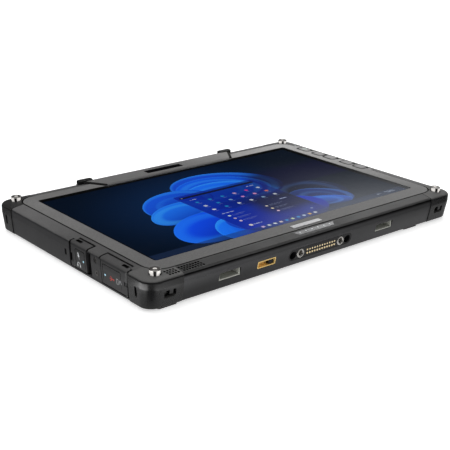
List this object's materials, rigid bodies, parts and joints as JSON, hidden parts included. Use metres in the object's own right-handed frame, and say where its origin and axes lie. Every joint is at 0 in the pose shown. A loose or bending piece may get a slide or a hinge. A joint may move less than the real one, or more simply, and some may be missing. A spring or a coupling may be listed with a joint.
{
  "type": "rugged tablet data collector",
  "caption": "Rugged slate field computer with armoured corners, hinged port covers, bezel keys, docking contacts and slide-out battery packs.",
  "frame": {"origin": "centre of the rest plane under the four rubber feet", "axes": "+X along the long edge, towards the bezel keys; +Y towards the camera edge; +Z out of the display, away from the feet"},
  "size_m": [0.314, 0.2077, 0.027],
  "materials": {
    "badge_metal": "satin blank badge",
    "battery_plastic": "textured moulding",
    "bezel": "fine-grained grey moulding",
    "black_plastic": "matte black moulding",
    "black_rubber": "matte rubber",
    "black_screw": "black oxide screw",
    "bumper": "smooth moulded elastomer, semi-matte",
    "button_plastic": "fine-grained moulding",
    "circuit_board": "solder-masked board",
    "clear_lens": "milky clear lens",
    "connector_shell": "plated connector shell",
    "copper_sheet": "bare copper",
    "cover_plastic": "matte dark moulding",
    "dark_gloss": "black gloss window",
    "display_glass": "toughened optically bonded glass",
    "gold_contact": "gold-plated",
    "housing": "fine-grained dark grey moulding over a metal frame",
    "indicator_strip": "smoked light pipe",
    "insert_brass": "knurled brass insert",
    "lcd": "lit display panel",
    "light_guide": "diffusing light guide",
    "plain_steel": "brushed stainless steel",
    "polished_steel": "polished stainless steel",
    "sheet_metal": "stamped sheet"
  },
  "bodies": {
    "casing": {"audio_jack": "black_plastic", "backlight_unit": "light_guide", "battery_contacts": "connector_shell", "blank_badge": "badge_metal", "bumper_far_left": "bumper", "bumper_far_right": "bumper", "bumper_near_left": "bumper", "bumper_near_right": "bumper", "button_board": "circuit_board", "button_surrounds": "black_rubber", "camera_boss_cover": "bezel", "camera_window": "dark_gloss", "corner_studs": "polished_steel", "cover_glass": "display_glass", "cover_hinge_pins": "plain_steel", "display_bezel": "bezel", "display_bracket": "sheet_metal", "dock_connector_body": "black_plastic", "dock_guide_bushes": "polished_steel", "dock_latch_strikes": "plain_steel", "dock_pins": "gold_contact", "front_camera": "dark_gloss", "front_housing": "housing", "glass_gasket": "black_rubber", "heat_spreader": "copper_sheet", "housing_screws": "black_screw", "indicator_lightpipe": "indicator_strip", "io_board": "circuit_board", "lcd_panel": "lcd", "light_sensor_lens": "clear_lens", "mainboard": "circuit_board", "port_divider": "cover_plastic", "port_divider_screws": "black_screw", "port_frame": "black_plastic", "power_jack": "black_plastic", "rear_camera": "dark_gloss", "rear_housing": "housing", "rf_receptacle_shell": "gold_contact", "rf_receptacle_tongue": "black_plastic", "rubber_feet": "black_rubber", "speaker_module": "black_plastic", "ssd_module": "circuit_board", "strap_inserts": "insert_brass", "strap_lug_caps": "black_rubber", "tether_bars": "plain_steel", "usb_a_port": "connector_shell", "usb_c_port": "connector_shell"},
    "cap_power": {"power_button": "button_plastic"},
    "cap_function_1": {"function_button_1": "button_plastic"},
    "cap_function_2": {"function_button_2": "button_plastic"},
    "cap_volume_up": {"volume_up_button": "button_plastic"},
    "cap_volume_down": {"volume_down_button": "button_plastic"},
    "door_a": {"port_cover_a": "cover_plastic", "port_seal_a": "black_rubber"},
    "door_b": {"port_cover_b": "cover_plastic", "port_seal_b": "black_rubber"},
    "pack_left": {"battery_pack_left": "battery_plastic"},
    "pack_right": {"battery_pack_right": "battery_plastic"},
    "latch_left": {"battery_latch_left": "black_plastic"},
    "latch_right": {"battery_latch_right": "black_plastic"}
  },
  "joints": [
    {"name": "power_press", "type": "slide", "parent": "casing", "child": "cap_power", "axis": [0, 0, -1], "range_m": [0, 0.0006], "stiffness_N_per_m": 200},
    {"name": "function_1_press", "type": "slide", "parent": "casing", "child": "cap_function_1", "axis": [0, 0, -1], "range_m": [0, 0.0006], "stiffness_N_per_m": 200},
    {"name": "function_2_press", "type": "slide", "parent": "casing", "child": "cap_function_2", "axis": [0, 0, -1], "range_m": [0, 0.0006], "stiffness_N_per_m": 200},
    {"name": "volume_up_press", "type": "slide", "parent": "casing", "child": "cap_volume_up", "axis": [0, 0, -1], "range_m": [0, 0.0006], "stiffness_N_per_m": 200},
    {"name": "volume_down_press", "type": "slide", "parent": "casing", "child": "cap_volume_down", "axis": [0, 0, -1], "range_m": [0, 0.0006], "stiffness_N_per_m": 200},
    {"name": "port_cover_a_swing", "type": "hinge", "parent": "casing", "child": "door_a", "pos_m": [-0.1542, -0.0086, 0.012], "axis": [0, 0, -1], "range_deg": [0, 100]},
    {"name": "port_cover_b_swing", "type": "hinge", "parent": "casing", "child": "door_b", "pos_m": [-0.1542, -0.0754, 0.012], "axis": [0, 0, 1], "range_deg": [0, 100]},
    {"name": "battery_left_out", "type": "slide", "parent": "casing", "child": "pack_left", "axis": [0, 0, -1], "range_m": [0, 0.03]},
    {"name": "battery_right_out", "type": "slide", "parent": "casing", "child": "pack_right", "axis": [0, 0, -1], "range_m": [0, 0.03]},
    {"name": "battery_latch_left_lock", "type": "slide", "parent": "casing", "child": "latch_left", "axis": [1, 0, 0], "range_m": [0, 0.0038]},
    {"name": "battery_latch_right_lock", "type": "slide", "parent": "casing", "child": "latch_right", "axis": [-1, 0, 0], "range_m": [0, 0.0038]}
  ]
}
